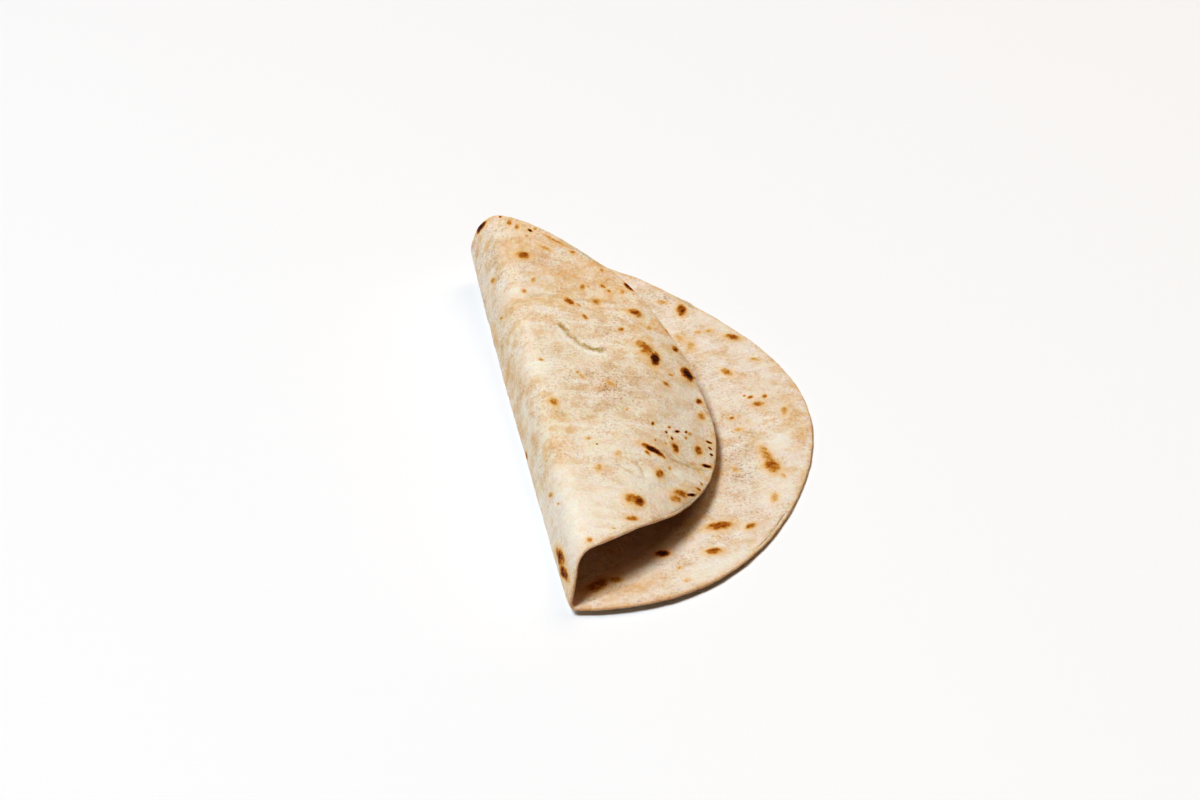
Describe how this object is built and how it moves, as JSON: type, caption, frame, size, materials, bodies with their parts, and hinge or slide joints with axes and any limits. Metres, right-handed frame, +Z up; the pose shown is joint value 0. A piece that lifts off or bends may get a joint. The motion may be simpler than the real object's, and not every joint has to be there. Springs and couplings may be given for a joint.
{
  "type": "tawa roti",
  "caption": "Round griddle-baked flatbread folded once along a chord: a flat lower layer and a drooping upper flap with a hollow fold between them.",
  "frame": {"origin": "on the surface that the roti lies on, under the middle of its bounding box", "axes": "+Z up from the table, +Y along the crease towards its taller, rounder end, +X from the crease towards the open edge"},
  "size_m": [0.1158, 0.2076, 0.0356],
  "materials": {
    "baked_dough": "matte, mottled cream with golden to dark brown griddle spots"
  },
  "bodies": {
    "root": {"roti": "baked_dough"}
  },
  "joints": []
}
